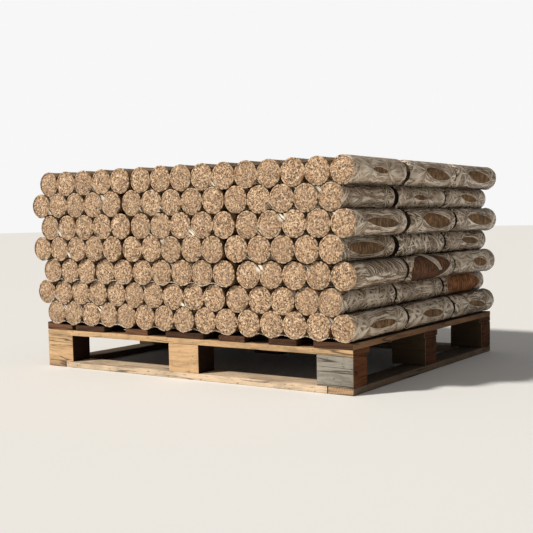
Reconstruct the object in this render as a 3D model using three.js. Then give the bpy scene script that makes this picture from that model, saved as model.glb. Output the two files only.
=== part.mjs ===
// A four-way wooden pallet stacked with packs of round briquettes: pressed wood chips in rods,
// five rods to a pack, each pack held by a shrunk clear film.
// Millimetres, +Z up. The long side of the pallet lies along X and its front faces -Y.
// The origin is on the floor under the middle of the load.
import * as THREE from "three";

// Pallet
const PALLET_LENGTH = 1200;
const PALLET_DEPTH = 1000;
const DECK_THICKNESS = 18;
const STRINGER_THICKNESS = 18;
const STRINGER_WIDTH = 95;
const BLOCK_LENGTH = 118;
const BLOCK_DEPTH = 80;
const BLOCK_HEIGHT = 88;
const BOTTOM_THICKNESS = 20;
const BOTTOM_SIDE_WIDTH = 82;
const BOTTOM_END_WIDTH = 90;
const BOTTOM_JOINT_GAP = 2;
const DECK_CURL_HEIGHT = 9;
const DECK_CURL_WIDTH = 32;
// The load wasn't set down quite in the middle: the pallet stands a little to its right and back.
const PALLET_SHIFT = [5, 10];
// Left edge and width of each deck board, counted from the pallet's left end.
const DECK_BOARDS = [
  { left: 0, width: 118 },
  { left: 135, width: 131 },
  { left: 361, width: 94 },
  { left: 531, width: 148 },
  { left: 738, width: 96 },
  { left: 920, width: 96 },
  { left: 1072, width: 128 },
];

// Briquettes and packs
const ROD_RADIUS = 40;
const ROD_LENGTH = 330;
const FILM_THICKNESS = 0.3;
const RODS_PER_PACK = 5;
const PACKS_PER_ROW = 3;
const ROD_PITCH = 80.2;
const PACK_PITCH = 404;
const NECK_HALF_HEIGHT = 9;
const ARC_STEPS = 4;
const HIDDEN_ARC_STEPS = 2;

// Stack
const ROWS = 7;
const ROW_STAGGER = 40.35;
const PACK_SLACK_X = 0.9;
const PACK_SLACK_Y = 3;
// Room left behind the front packs and before the rear packs, row by row from the bottom up.
const GAP_BEHIND_FRONT = [10, 10, 10, 17, 17, 16, 16];
const GAP_BEFORE_REAR = [11, 11, 10, 11, 12, 9, 9];
// How far each row was set down to the right of its regular place, from the bottom row up.
const ROW_DRIFT = [-8, -7, -2, 5, 4, 8, 6];
// How far each row was set down behind its regular place, from the bottom row up.
const ROW_SETBACK = [15, 13, 3, -6, -6, -8, -8];
const PLACES = ["left", "middle", "right"];

const BLOCK_BASE = BOTTOM_THICKNESS;
const STRINGER_BASE = BLOCK_BASE + BLOCK_HEIGHT;
const DECK_BASE = STRINGER_BASE + STRINGER_THICKNESS;
const PALLET_HEIGHT = DECK_BASE + DECK_THICKNESS;
const LEFT_END = -PALLET_LENGTH / 2;
const FRONT_EDGE = -PALLET_DEPTH / 2;

const WOODS = {
  pine: { color: 0xd9b98a, roughness: 0.75 },
  grey: { color: 0xa39d8a, roughness: 0.85 },
  deck: { color: 0x8a5a3c, roughness: 0.8 },
  rods: { color: 0xc9a57a, roughness: 0.85 },
};

function woodMaterial(kind) {
  return new THREE.MeshStandardMaterial({ ...WOODS[kind], metalness: 0 });
}

function namedMesh(name, geometry, wood) {
  const mesh = new THREE.Mesh(geometry, woodMaterial(wood));
  mesh.name = name;
  return mesh;
}

// A plank or block given by its lowest corner and its size.
function timber(name, wood, corner, size) {
  const mesh = namedMesh(name, new THREE.BoxGeometry(...size), wood);
  mesh.position.set(...corner.map((low, axis) => low + size[axis] / 2));
  return mesh;
}

// Extrudes an outline drawn in the XZ plane from yFront to the back.
function extrudeBack(shape, yFront, length) {
  const geometry = new THREE.ExtrudeGeometry(shape, {
    depth: length,
    bevelEnabled: false,
    steps: 1,
  });
  geometry.rotateX(Math.PI / 2);
  geometry.translate(0, yFront + length, 0);
  return geometry;
}

// The leftmost deck board has cupped as it dried, so its outer edge stands proud.
function cuppedDeckBoard(name, left, width) {
  const outline = new THREE.Shape([
    new THREE.Vector2(left, DECK_BASE),
    new THREE.Vector2(left + width, DECK_BASE),
    new THREE.Vector2(left + width, PALLET_HEIGHT),
    new THREE.Vector2(left + DECK_CURL_WIDTH, PALLET_HEIGHT),
    new THREE.Vector2(left, PALLET_HEIGHT + DECK_CURL_HEIGHT),
  ]);
  return namedMesh(name, extrudeBack(outline, FRONT_EDGE, PALLET_DEPTH), "deck");
}

function makeDeck() {
  return DECK_BOARDS.map(({ left, width }, i) => {
    const name = `deck_board_${i + 1}`;
    const x = LEFT_END + left;
    if (i === 0) return cuppedDeckBoard(name, x, width);
    return timber(name, "deck", [x, FRONT_EDGE, DECK_BASE], [width, PALLET_DEPTH, DECK_THICKNESS]);
  });
}

// Places along a side that hold a first, a middle and a last piece of the given width.
function threePlaces(length, width) {
  return [-length / 2, -width / 2, length / 2 - width];
}

function makeStringers() {
  const size = [PALLET_LENGTH, STRINGER_WIDTH, STRINGER_THICKNESS];
  return threePlaces(PALLET_DEPTH, STRINGER_WIDTH).map((y, i) =>
    timber(`stringer_${["front", "middle", "rear"][i]}`, "pine", [LEFT_END, y, STRINGER_BASE], size),
  );
}

function makeBlocks() {
  const size = [BLOCK_LENGTH, BLOCK_DEPTH, BLOCK_HEIGHT];
  return threePlaces(PALLET_DEPTH, BLOCK_DEPTH).flatMap((y, j) =>
    threePlaces(PALLET_LENGTH, BLOCK_LENGTH).map((x, i) => {
      const name = `block_${["front", "centre", "rear"][j]}_${PLACES[i]}`;
      return timber(name, name === "block_front_right" ? "grey" : "pine", [x, y, BLOCK_BASE], size);
    }),
  );
}

// The base is a frame: two full boards under the sides, two shorter ones let in between them.
function makeBottom() {
  const sideSize = [BOTTOM_SIDE_WIDTH, PALLET_DEPTH, BOTTOM_THICKNESS];
  const between = PALLET_LENGTH - 2 * (BOTTOM_SIDE_WIDTH + BOTTOM_JOINT_GAP);
  const endSize = [between, BOTTOM_END_WIDTH, BOTTOM_THICKNESS];
  const rearEdge = PALLET_DEPTH / 2;
  return [
    timber("bottom_board_left", "pine", [LEFT_END, FRONT_EDGE, 0], sideSize),
    timber("bottom_board_right", "pine", [-LEFT_END - BOTTOM_SIDE_WIDTH, FRONT_EDGE, 0], sideSize),
    timber("bottom_board_front", "pine", [-between / 2, FRONT_EDGE, 0], endSize),
    timber("bottom_board_rear", "pine", [-between / 2, rearEdge - BOTTOM_END_WIDTH, 0], endSize),
  ];
}

// The outline of a run of touching rods with the film drawn into the valleys between them.
// centres are the rods' middles from left to right, steps the chords of each half rod.
function packOutline(centres, steps, endSteps) {
  const points = [];
  const neck = Math.asin(NECK_HALF_HEIGHT / ROD_RADIUS);
  const arc = (cx, from, to, count) => {
    for (let k = 1; k < count; k += 1) {
      const a = from + ((to - from) * k) / count;
      points.push(new THREE.Vector2(cx + ROD_RADIUS * Math.cos(a), ROD_RADIUS * Math.sin(a)));
    }
  };
  const last = centres.length - 1;
  const valley = (i) => (centres[i] + centres[i + 1]) / 2;
  for (let i = 0; i < last; i += 1) {
    if (i > 0) arc(centres[i], -Math.PI + neck, -neck, steps);
    points.push(new THREE.Vector2(valley(i), -NECK_HALF_HEIGHT));
  }
  arc(centres[last], -Math.PI + neck, Math.PI - neck, endSteps);
  for (let i = last - 1; i >= 0; i -= 1) {
    points.push(new THREE.Vector2(valley(i), NECK_HALF_HEIGHT));
    if (i > 0) arc(centres[i], neck, Math.PI - neck, steps);
  }
  arc(centres[0], neck, 2 * Math.PI - neck, endSteps);
  return new THREE.Shape(points);
}

// A small shift that looks like the unevenness of stacking by hand.
function slack(seed, reach) {
  return reach * Math.sin(seed * 2.4 + 0.7);
}

// Where the rods of one row lie along X: packs of touching rods, with a little room between packs.
function rowRods(row) {
  const side = row % 2 === 0 ? 1 : -1;
  const shift = (side * ROW_STAGGER) / 2 + ROW_DRIFT[row];
  const packs = [];
  for (let p = 0; p < PACKS_PER_ROW; p += 1) {
    const middle = shift + (p - 1) * PACK_PITCH + slack(row * PACKS_PER_ROW + p, PACK_SLACK_X);
    const pack = [];
    for (let i = 0; i < RODS_PER_PACK; i += 1) {
      pack.push(middle + (i - (RODS_PER_PACK - 1) / 2) * ROD_PITCH);
    }
    packs.push(pack);
  }
  return packs;
}

// The height that a row gains by nesting in the row below: the pair of rods that meets first sets it.
function nestedRise(lower, upper) {
  const contact = 2 * (ROD_RADIUS + FILM_THICKNESS);
  const rises = upper.flatMap((xu) =>
    lower
      .map((xl) => Math.abs(xu - xl))
      .filter((dx) => dx < contact)
      .map((dx) => Math.sqrt(contact ** 2 - dx ** 2)),
  );
  return Math.max(...rises);
}

function makeStack() {
  const stack = new THREE.Group();
  const endSteps = 2 * ARC_STEPS + 2;
  let z = PALLET_HEIGHT + ROD_RADIUS + FILM_THICKNESS;
  let below = null;
  for (let row = 0; row < ROWS; row += 1) {
    const packs = rowRods(row);
    const rods = packs.flat();
    if (below) z += nestedRise(below, rods);
    below = rods;
    const label = `row${row + 1}`;
    const front = ROW_SETBACK[row];
    const middleFront = front + ROD_LENGTH + GAP_BEHIND_FRONT[row];
    const rearFront = middleFront + ROD_LENGTH + GAP_BEFORE_REAR[row];
    const middleSteps = row === ROWS - 1 ? ARC_STEPS : HIDDEN_ARC_STEPS;
    const place = (name, centres, steps, y) => {
      const outline = packOutline(centres, steps, endSteps);
      const mesh = namedMesh(name, extrudeBack(outline, 0, ROD_LENGTH), "rods");
      mesh.position.set(0, y, z);
      stack.add(mesh);
    };
    packs.forEach((pack, p) => {
      const y = front + slack(row * 5 + p * 2, PACK_SLACK_Y);
      place(`pack_${label}_${PLACES[p]}`, pack, ARC_STEPS, y);
    });
    place(`course_${label}_middle`, rods, middleSteps, middleFront);
    place(`course_${label}_rear`, rods, ARC_STEPS, rearFront);
  }
  // The load stands centred over the origin.
  stack.updateMatrixWorld(true);
  const reach = new THREE.Box3().setFromObject(stack);
  const middle = reach.getCenter(new THREE.Vector3());
  stack.position.set(-middle.x, -middle.y, 0);
  return stack;
}

function makePallet() {
  const pallet = new THREE.Group();
  pallet.add(...makeDeck(), ...makeStringers(), ...makeBlocks(), ...makeBottom());
  pallet.position.set(...PALLET_SHIFT, 0);
  return pallet;
}

const palletOfBriquettes = new THREE.Group();
palletOfBriquettes.add(makePallet(), makeStack());

export default palletOfBriquettes;
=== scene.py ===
"""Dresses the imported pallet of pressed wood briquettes: briquettes, shrink film and pallet timber.

Everything is in metres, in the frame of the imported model: +X along the pallet's long side, +Y to
the back along the briquettes, +Z up.
"""

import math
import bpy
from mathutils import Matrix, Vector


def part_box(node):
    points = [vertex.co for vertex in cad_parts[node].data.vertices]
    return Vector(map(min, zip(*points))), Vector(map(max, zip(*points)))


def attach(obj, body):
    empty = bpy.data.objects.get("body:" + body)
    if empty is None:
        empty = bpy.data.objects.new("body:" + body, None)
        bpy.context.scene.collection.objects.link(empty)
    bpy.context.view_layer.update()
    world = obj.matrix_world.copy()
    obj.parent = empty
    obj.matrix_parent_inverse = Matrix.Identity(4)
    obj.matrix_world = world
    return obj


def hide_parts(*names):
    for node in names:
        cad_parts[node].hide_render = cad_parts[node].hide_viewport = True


bl_info = {
    "name": "Pallet of pressed wood briquettes",
    "version": (1, 0, 0),
    "blender": (4, 5, 0),
    "location": "3D View > Sidebar > Briquettes",
    "description": "Models film-wrapped wood briquettes on a pallet around a packed frame",
    "category": "Add Mesh",
}

from dataclasses import dataclass

import bpy
import numpy as np
from bpy.props import FloatProperty, FloatVectorProperty, IntProperty, PointerProperty
from mathutils import Matrix, Vector

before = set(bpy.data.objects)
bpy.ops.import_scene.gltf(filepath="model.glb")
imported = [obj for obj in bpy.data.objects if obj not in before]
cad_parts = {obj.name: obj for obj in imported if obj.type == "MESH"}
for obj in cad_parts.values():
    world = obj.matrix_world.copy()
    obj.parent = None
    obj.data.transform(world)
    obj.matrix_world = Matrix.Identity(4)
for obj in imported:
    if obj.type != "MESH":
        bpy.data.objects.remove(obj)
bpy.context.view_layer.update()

ROOT = "root"
ROWS = range(1, 8)
PLACES = ("left", "middle", "right")
RODS_PER_PACK = 5


def box_of(node):
    """Lowest corner, highest corner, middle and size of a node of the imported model."""
    low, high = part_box(node)
    return low, high, (low + high) / 2, high - low


# How much shorter the wood of a briquette is than its wrapped pack.
END_ROOM = 0.0055
PACK_SIZE = box_of("pack_row1_left")[3]


# Settings


def metres(name, description, value):
    return FloatProperty(name=name, description=description, default=value, unit="LENGTH")


def hue(name, description, value):
    return FloatVectorProperty(name=name, description=description, default=value, subtype="COLOR")


class BriquetteSettings(bpy.types.PropertyGroup):
    radius: metres("Radius", "Radius of a briquette", PACK_SIZE.z / 2)
    length: metres("Length", "Length of a briquette", PACK_SIZE.y - END_ROOM)
    facets: IntProperty(name="Facets", description="Faces around a briquette", default=32, min=12)
    ring_pitch: metres(
        "Ring pitch", "Distance between the rings that the press leaves on the side", 0.0092
    )
    ring_depth: metres("Ring depth", "How deep the grooves between the rings are", 0.0007)
    end_relief: metres("End relief", "How far chips stand out of the broken end faces", 0.0024)
    slack: metres(
        "Slack", "How much smaller the wood is than the wrapped briquette, on every side", 0.0010
    )
    end_color: hue("End colour", "Middle colour of the chips on the end faces", (0.53, 0.343, 0.204))
    side_color: hue("Side colour", "Colour of the pressed and browned side", (0.195, 0.108, 0.044))


class FilmSettings(bpy.types.PropertyGroup):
    gap: metres("Gap", "Room between the film and the briquettes", 0.0003)
    valley: metres("Valley", "How deep the film is drawn in between two briquettes", 0.012)
    cell: metres("Cell", "Size of the faces where the film shows", 0.0042)
    wrinkle: metres("Wrinkle height", "Height of the shrunk folds", 0.0013)
    tint: hue("Tint", "Colour of the film where it is slack and milky", (0.575, 0.410, 0.264))


class TimberSettings(bpy.types.PropertyGroup):
    ease: metres("Eased edge", "Width of the worn edges of boards and blocks", 0.0022)
    cell: metres("Cell", "Size of the faces across a board", 0.011)
    sawing: metres("Sawing", "Unevenness of the sawn faces", 0.0022)
    pine: hue("Pine", "Colour of clean sawn pine", (0.60, 0.39, 0.21))
    weathered: hue("Weathered pine", "Colour of pine greyed by weather", (0.285, 0.258, 0.215))
    pale: hue("Pale pine", "Colour of the front and rear bottom boards", (0.72, 0.555, 0.39))
    deck: hue("Deck boards", "Colour of the reddish deck boards", (0.30, 0.160, 0.080))
    side: hue("Side boards", "Colour of the left and right bottom boards", (0.21, 0.145, 0.095))
    block_end: hue("Block ends", "End grain of blocks and stringers", (0.112, 0.038, 0.012))
    side_end: hue("Side board ends", "End grain of the side boards", (0.42, 0.27, 0.155))
    # The deck board ends are painted darker: painted shade from the load above them.
    deck_end: hue("Deck board ends", "End grain of the deck boards", (0.145, 0.066, 0.034))


class StageSettings(bpy.types.PropertyGroup):
    lens: FloatProperty(name="Lens", description="Focal length in mm", default=63.88)
    shift: FloatProperty(name="Shift", description="How far the lens is shifted up", default=0.0722)
    place: FloatVectorProperty(
        name="Camera place",
        description="Where the camera stands",
        subtype="TRANSLATION",
        default=(1.8645, -2.7231, 0.4856),
    )
    turn: FloatVectorProperty(
        name="Camera turn",
        description="Heading to the left of +Y, tilt above the horizon and roll",
        subtype="EULER",
        default=(math.radians(34.653), math.radians(-5.156), math.radians(-1.09)),
    )


def settings():
    return bpy.context.scene.briquette_pallet


class PalletSettings(bpy.types.PropertyGroup):
    briquettes: PointerProperty(type=BriquetteSettings, name="Briquettes")
    film: PointerProperty(type=FilmSettings, name="Film")
    timber: PointerProperty(type=TimberSettings, name="Timber")
    stage: PointerProperty(type=StageSettings, name="Stage")


# Materials


class Wire:
    """One output of a material's node, on which arithmetic adds Math nodes."""

    def __init__(self, paint, socket):
        self.paint = paint
        self.socket = socket

    def math(self, operation, *values):
        return self.paint.node("ShaderNodeMath", {"operation": operation}, dict(enumerate(values)))

    def __add__(self, other):
        return self.math("ADD", self, other)

    def __radd__(self, other):
        return self.math("ADD", other, self)

    def __sub__(self, other):
        return self.math("SUBTRACT", self, other)

    def __rsub__(self, other):
        return self.math("SUBTRACT", other, self)

    def __mul__(self, other):
        return self.math("MULTIPLY", self, other)

    def __rmul__(self, other):
        return self.math("MULTIPLY", other, self)

    def __abs__(self):
        return self.math("ABSOLUTE", self)

    def power(self, exponent):
        return self.math("POWER", self, exponent)

    def sine(self):
        return self.math("SINE", self)

    def greater(self, other):
        return self.math("MAXIMUM", self, other)

    def between(self, low, high, to_low=0.0, to_high=1.0):
        """Rises smoothly from to_low to to_high while the value goes from low to high."""
        return self.paint.node(
            "ShaderNodeMapRange",
            {"interpolation_type": "SMOOTHSTEP"},
            {"Value": self, "From Min": low, "From Max": high, "To Min": to_low, "To Max": to_high},
        )


class Paint:
    """A material and the nodes that make it."""

    def __init__(self, name):
        self.material = bpy.data.materials.new(name)
        self.material.use_nodes = True
        self.tree = self.material.node_tree
        self.shader = self.tree.nodes["Principled BSDF"]

    def node(self, kind, choices=None, values=None, out=0):
        """Adds a node, sets its choices, then its sockets, and gives one of its outputs."""
        node = self.tree.nodes.new(kind)
        adjust(node, **(choices or {}))
        for key, value in (values or {}).items():
            self.plug(node.inputs[key], value)
        return Wire(self, node.outputs[out])

    def ramp(self, value, base, *stops):
        """Colours by value: each stop is a place and a shade of the base, or a colour of its own."""
        wire = self.node("ShaderNodeValToRGB", None, {"Fac": value})
        elements = wire.socket.node.color_ramp.elements
        while len(elements) < len(stops):
            elements.new(1.0)
        for element, (place, tone) in zip(elements, stops):
            element.position = place
            element.color = (*tone_of(base, tone), 1.0)
        return wire

    def over(self, color, base, *spots):
        """Lays spots over a colour: each is a share and a shade of the base, or its own colour."""
        for share, tone in spots:
            color = self.mix(share, color, tone_of(base, tone))
        return color

    def plug(self, socket, value):
        if isinstance(value, Wire):
            self.tree.links.new(value.socket, socket)
        elif hasattr(value, "__len__") and len(value) == 3 and socket.type == "RGBA":
            socket.default_value = (*value, 1.0)
        else:
            socket.default_value = value

    def attribute(self, name):
        """A number that the mesh keeps for each of its points."""
        return self.node("ShaderNodeAttribute", {"attribute_name": name}, out="Fac")

    def place(self):
        return self.node("ShaderNodeTexCoord", out="Object")

    def uv(self):
        return self.node("ShaderNodeTexCoord", out="UV")

    def split(self, vector):
        node = self.node("ShaderNodeSeparateXYZ", None, {"Vector": vector}).socket.node
        return [Wire(self, output) for output in node.outputs]

    def vector(self, x, y, z):
        return self.node("ShaderNodeCombineXYZ", None, {"X": x, "Y": y, "Z": z})

    def moved(self, vector, offset):
        return self.node("ShaderNodeVectorMath", {"operation": "ADD"}, {0: vector, 1: offset})

    def noise(self, vector, scale, detail=2.0, rough=0.5, twist=0.0):
        return self.node(
            "ShaderNodeTexNoise",
            None,
            {"Vector": vector, "Scale": scale, "Detail": detail, "Roughness": rough, "Distortion": twist},
        )

    def grain(self, x, y, z, detail=2.0, rough=0.5, twist=0.0):
        """Noise that each axis stretches by the factor that its number holds."""
        return self.noise(self.vector(x, y, z), 1.0, detail, rough, twist)

    def cells(self, vector, scale, out="Distance"):
        return self.node("ShaderNodeTexVoronoi", None, {"Vector": vector, "Scale": scale}, out=out)

    def mix(self, share, first, second, blend="MIX"):
        """Mixes two colours."""
        return self.node(
            "ShaderNodeMix",
            {"data_type": "RGBA", "blend_type": blend, "clamp_factor": True},
            {0: share, 6: first, 7: second},
            out=2,
        )

    def finish(self, color, roughness, relief=(), **values):
        """Sets the shader's sockets; relief is a height, the distance it stands for and a strength.

        In the names of further sockets underscores stand for spaces.
        """
        values.update(Base_Color=color, Roughness=roughness)
        if relief:
            names = ("Height", "Distance", "Strength")
            values["Normal"] = self.node("ShaderNodeBump", None, dict(zip(names, relief)))
        for key, value in values.items():
            self.plug(self.shader.inputs[key.replace("_", " ")], value)
        return self.material


def shade(color, factor):
    """The same colour, darker or lighter."""
    return tuple(min(1.0, channel * factor) for channel in color)


def tone_of(base, tone):
    """A colour stays as it is, and a number gives a shade of the base."""
    return tone if isinstance(tone, tuple) else shade(base, tone)


def chips_material():
    """The sawn or broken end of a briquette: pressed flakes that curl around its middle."""
    look = settings().briquettes
    paint = Paint("pressed_chips")
    tone = paint.attribute("tone")
    u, v, _ = paint.split(paint.uv())
    offset = tone * 37.0
    flat = paint.vector(u, v, offset)
    radius = (u * u + v * v).power(0.5)
    turn = paint.node("ShaderNodeMath", {"operation": "ARCTAN2"}, {0: v, 1: u})
    warp = paint.noise(flat, 120.0, 2.0) - 0.5
    drift = paint.noise(paint.vector(u, v, offset + 4.0), 120.0, 2.0) - 0.5
    bent = paint.vector(u + warp * 0.007, v + drift * 0.007, offset)
    flake = paint.split(paint.cells(bent, 235.0, out="Color"))[0]
    chip = paint.split(paint.cells(paint.moved(bent, (3.1, 1.7, 0.4)), 150.0, out="Color"))[1]
    speck = paint.noise(bent, 260.0, 2.0, 0.6)
    arc = paint.grain(radius * 300.0, turn * 4.0, offset, 3.0, 0.6, 0.8)
    pit = paint.noise(paint.vector(u, v, offset + 2.0), 230.0, 1.0, 0.5)
    value = flake * 0.60 + chip * 0.30 + (speck - 0.5) * 1.3 + (arc - 0.5) * 0.6 + 0.06
    base = look.end_color
    color = paint.ramp(
        value, base, (0.08, 0.16), (0.28, 0.52), (0.47, 1.0), (0.68, 1.38), (0.92, (0.92, 0.74, 0.52))
    )
    reddish = paint.noise(paint.vector(u, v, offset + 9.0), 55.0, 1.0)
    color = paint.over(
        color,
        base,
        (pit.between(0.58, 0.68) * 0.85, 0.13),
        (reddish.between(0.48, 0.72) * 0.35, (0.50, 0.25, 0.125)),
        ((tone * 1.7 - 0.5).between(0.0, 1.0) * 0.25, 0.7),
        (radius.between(0.0345, 0.0380) * 0.50, (0.74, 0.54, 0.36)),
    )
    height = flake * 0.5 + speck * 0.5 + arc * 0.4 - pit.between(0.55, 0.68) * 0.8
    return paint.finish(color, 0.85, (height, 0.0026, 1.0))


def side_material():
    """The hot-pressed side: brown, with the fine rings of the press, and painted shade where it lies
    hidden.
    """
    look = settings().briquettes
    paint = Paint("pressed_side")
    tone = paint.attribute("tone")
    warm = paint.attribute("warm")
    around, along, _ = paint.split(paint.uv())
    offset = tone * 51.0
    flat = paint.vector(around, along, offset)
    wobble = paint.noise(flat, 45.0, 2.0) - 0.5
    ring = ((along + wobble * 0.0025) * (2 * math.pi / look.ring_pitch)).sine() * 0.5 + 0.5
    streak = paint.grain(around * 16.0, along * 260.0, offset, 3.0, 0.6)
    chip = paint.cells(paint.vector(around * 95.0, along * 230.0, offset), 1.0, out="Color")
    chip_tone = paint.split(chip)[0]
    rib = (along * (math.pi / look.ring_pitch)).sine() * warm.between(0.5, 1.0)
    value = ring * 0.80 + streak * 0.40 + chip_tone * 0.20 + rib * 0.22 - 0.20
    base = look.side_color
    color = paint.ramp(value, base, (0.20, 0.16), (0.42, 0.58), (0.62, 1.25), (0.86, 2.05))
    patch = paint.noise(flat, 42.0, 3.0, 0.6)
    color = paint.over(
        color,
        base,
        (patch.between(0.46, 0.64) * 0.65, 0.22),
        (patch.between(0.46, 0.32) * 0.35, 2.4),
        # Painted shade: hidden briquettes are painted nearly black.
        (paint.attribute("buried") * 0.96, (0.010, 0.0035, 0.002)),
    )
    color = paint.mix(warm * 0.8, color, (1.45, 0.92, 0.62), "MULTIPLY")
    height = ring * 0.7 + streak * 0.4 + chip_tone * 0.2
    return paint.finish(color, 0.75, (height, 0.0014, 0.9), Specular_IOR_Level=0.3)


FILM_MARKS = ("veil", "mark", "fan", "pull", "milk", "net")


def film_material():
    """Clear shrink film: nearly gone where it is taut, milky and streaked where it has shrunk.

    Its mesh keeps for each point: veil, how milky the slack film is; mark, how strongly its creases
    show, and its painted glints on the end panels; fan and pull, the direction and strength of the
    creases around a point that pulls the film; milk, where it is whitened through, and
    on one pack a painted band of glare; net, where it has shrunk to a net of folds; and seed.
    """
    look = settings().film
    paint = Paint("shrink_film")
    veil, mark, fan, pull, milk, net = (paint.attribute(name) for name in FILM_MARKS)
    seed = paint.attribute("seed") * 23.0
    across, along, _ = paint.split(paint.uv())
    sheet = paint.vector(across, along, seed)
    bend = paint.noise(sheet, 24.0, 2.0) - 0.5
    sway = paint.noise(paint.vector(across, along, seed + 3.0), 75.0, 2.0) - 0.5
    broad = paint.grain(across * 118.0 + bend * 2.4, along * 7.0 + bend * 0.8, seed, 1.0, 0.5)
    narrow = paint.grain(across * 190.0 + bend * 3.0 + sway, along * 22.0, seed + 7.0, 1.0)
    rising = across * 0.74 + along * 0.67
    falling = across * 0.74 - along * 0.67
    first = paint.grain(rising * 116.0 + sway * 0.8, falling * 13.0 + bend, seed + 11.0, 1.0)
    second = paint.grain(falling * 116.0 + sway * 0.8, rising * 13.0 + bend, seed + 13.0, 1.0)
    rays = paint.grain(fan * 6.0 + sway * 0.3, pull * 1.3 + bend * 0.4, seed + 5.0, 1.0, 0.5)
    patch = paint.noise(sheet, 15.0, 2.0)
    near = pull.between(0.20, 0.70)
    lengthwise = broad.between(0.50, 0.62).greater(narrow.between(0.52, 0.64) * 0.7)
    crossing = first.between(0.52, 0.61).greater(second.between(0.52, 0.61))
    ray = rays.between(0.50, 0.60)
    line = lengthwise * (1.0 - near * 0.8) * (1.0 - net * 0.75)
    line = line.greater(ray * near).greater(crossing * net)
    line = line * patch.between(0.25, 0.60, 0.40, 1.0)
    low_ray = (1.0 - rays.between(0.36, 0.46)) * near
    low_net = (1.0 - first.between(0.34, 0.46)).greater(1.0 - second.between(0.34, 0.46)) * net
    low = (1.0 - broad.between(0.34, 0.44)).greater(1.0 - narrow.between(0.34, 0.42))
    # Painted shade: beside its creases the film is painted dark brown, as the shadows of its folds.
    shade_share = (low * (1.0 - near * 0.7)).greater(low_ray).greater(low_net) * (1.0 - line)
    height = broad * 0.5 + narrow * 0.4 + rays * near * 0.7 + line * 0.5 + bend * 0.4
    white = milk * (0.55 + paint.noise(sheet, 130.0, 3.0, 0.65)).between(0.8, 1.2)
    haze = veil * (0.86 + (patch - 0.5) * 0.6)
    alpha = (haze + line * mark + shade_share * mark * 0.38 + white).between(-0.05, 1.05)
    color = paint.over(
        look.tint,
        look.tint,
        (patch.between(0.45, 0.75) * 0.3, 0.7),
        (shade_share * 0.76, (0.045, 0.026, 0.015)),
        (line * 0.9 + white, (0.95, 0.835, 0.68)),
    )
    return paint.finish(color, 0.22, (height, 0.003, 0.9), Alpha=alpha, IOR=1.48)


def wood_material(name, base, along, seedling, dirt=0.25, cracks=0.0):
    """Sawn softwood with its grain along the axis named by along: 0 for X, 1 for Y."""
    paint = Paint(name)
    seed = paint.attribute("seed")
    x, y, z = paint.split(paint.place())
    run, wide = (x, y) if along == 0 else (y, x)
    shift = seed * 7.0 + seedling
    wander = paint.grain(run * 2.4, wide * 6.0, z * 6.0 + shift, 2.0) - 0.5
    deep = z * 60.0 + wander * 9.0 + shift * 3.0
    band = paint.grain(run * 2.6 + shift, wide * 60.0 + wander * 9.0, deep, 3.0, 0.62)
    fibre = paint.grain(run * 14.0, wide * 330.0, z * 330.0 + shift, 3.0, 0.7)
    knot_field = paint.cells(paint.vector(run * 3.6 + shift, wide * 9.0, z * 9.0 + wander + shift), 1.0)
    knot = 1.0 - knot_field.between(0.05, 0.13)
    halo = 1.0 - knot_field.between(0.09, 0.30)
    stain = paint.grain(run * 7.0, wide * 18.0, z * 18.0 + shift, 4.0, 0.65, 0.6)
    speck = paint.grain(run * 60.0, wide * 190.0, z * 190.0 + shift, 2.0, 0.6)
    crack = paint.grain(run * 3.0 + shift, wide * 60.0, z * 60.0, 1.0)
    where = paint.grain(run * 5.0, wide * 9.0, z * 9.0 + shift)
    split = 1.0 - abs(crack - 0.5).between(0.0, 0.02 + cracks * 0.03)
    split = split * where.between(0.52 - cracks * 0.14, 0.62 - cracks * 0.12)
    tone = band * 0.72 + fibre * 0.30
    color = paint.ramp(tone, base, (0.28, 0.50), (0.43, 0.92), (0.56, 1.16), (0.72, 0.74))
    color = paint.over(
        color,
        base,
        (stain.between(0.44, 0.72) * dirt, 0.36),
        (halo * 0.35, 0.58),
        (knot * 0.85, 0.16),
        (speck.between(0.63 - dirt * 0.05, 0.72) * 0.7, 0.20),
        (split * 0.85, 0.10),
        # Dirt, and painted shade on pieces under the load.
        (paint.attribute("grime") * 0.78, 0.10),
    )
    height = band * 0.4 + fibre * 0.5 - split * 1.0 - speck.between(0.62, 0.72) * 0.5
    return paint.finish(color, 0.85, (height, 0.0016, 0.9), Specular_IOR_Level=0.25)


def end_grain_material(name, base, along, seedling):
    """The cut end of a board or block: arcs of year rings and drying cracks."""
    paint = Paint(name)
    seed = paint.attribute("seed")
    x, y, z = paint.split(paint.place())
    wide = y if along == 0 else x
    shift = seed * 7.0 + seedling
    warp = paint.grain(wide * 9.0 + shift, z * 9.0, shift, 2.0)
    side = wide * 1.0 + (seed - 0.5) * 0.08
    up = z + 0.05 + 0.09 * seed
    ring = ((side * side + up * up).power(0.5) * 1300.0 + warp * 9.0).sine() * 0.5 + 0.5
    pores = paint.grain(wide * 420.0, z * 420.0, shift, 2.0, 0.7)
    saw = paint.grain(wide * 9.0, z * 150.0 + warp * 3.0, shift, 2.0, 0.6)
    turn = paint.node("ShaderNodeMath", {"operation": "ARCTAN2"}, {0: up, 1: side})
    ray = paint.grain(turn * 14.0 + shift, warp * 0.8, shift, 1.0)
    crack = (1.0 - abs(ray - 0.5).between(0.0, 0.03)) * warp.between(0.48, 0.58)
    tone = ring * 0.34 + pores * 0.30 + (saw - 0.5) * 1.5 + 0.27
    color = paint.ramp(tone, base, (0.26, 0.28), (0.55, 1.0), (0.80, 1.55))
    # Dirt, and painted shade on ends under the load.
    color = paint.over(color, base, (crack * 0.85, 0.10), (paint.attribute("grime") * 0.8, 0.14))
    return paint.finish(color, 0.9, (tone - crack, 0.0016, 0.9), Specular_IOR_Level=0.2)


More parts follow.
